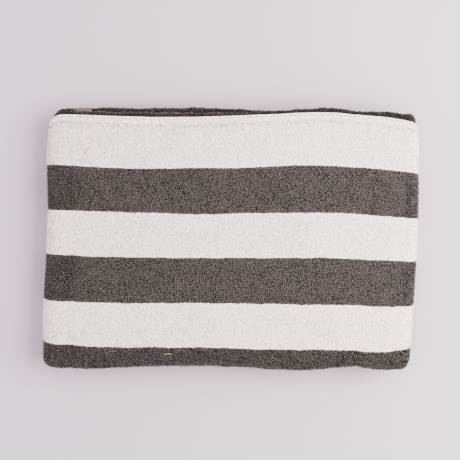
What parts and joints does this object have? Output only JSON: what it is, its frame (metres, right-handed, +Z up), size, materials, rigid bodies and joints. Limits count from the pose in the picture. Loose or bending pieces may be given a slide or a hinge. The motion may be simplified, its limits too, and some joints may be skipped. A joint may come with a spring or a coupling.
{
  "type": "beach towel",
  "caption": "Striped cotton terry beach towel, folded in three across its width and then in half twice, lying flat with a small blank label at its back fold.",
  "frame": {"origin": "middle of the folded towel's bounding box, on the surface that it rests on", "axes": "+Z up, +X to the right along the stripes, with the wrapped fold at -X and the loose ends at +X, +Y to the back, where the top layer's free hem lies"},
  "size_m": [0.3942, 0.2758, 0.0414],
  "materials": {
    "terry": "cotton terry with uncut loops on both faces, in equal stripes of white and warm dark grey that run along the cloth, and plain turned hems",
    "label_satin": "thin light grey satin ribbon, blank, with cut ends"
  },
  "bodies": {
    "root": {"towel": "terry", "care_label": "label_satin"}
  },
  "joints": []
}
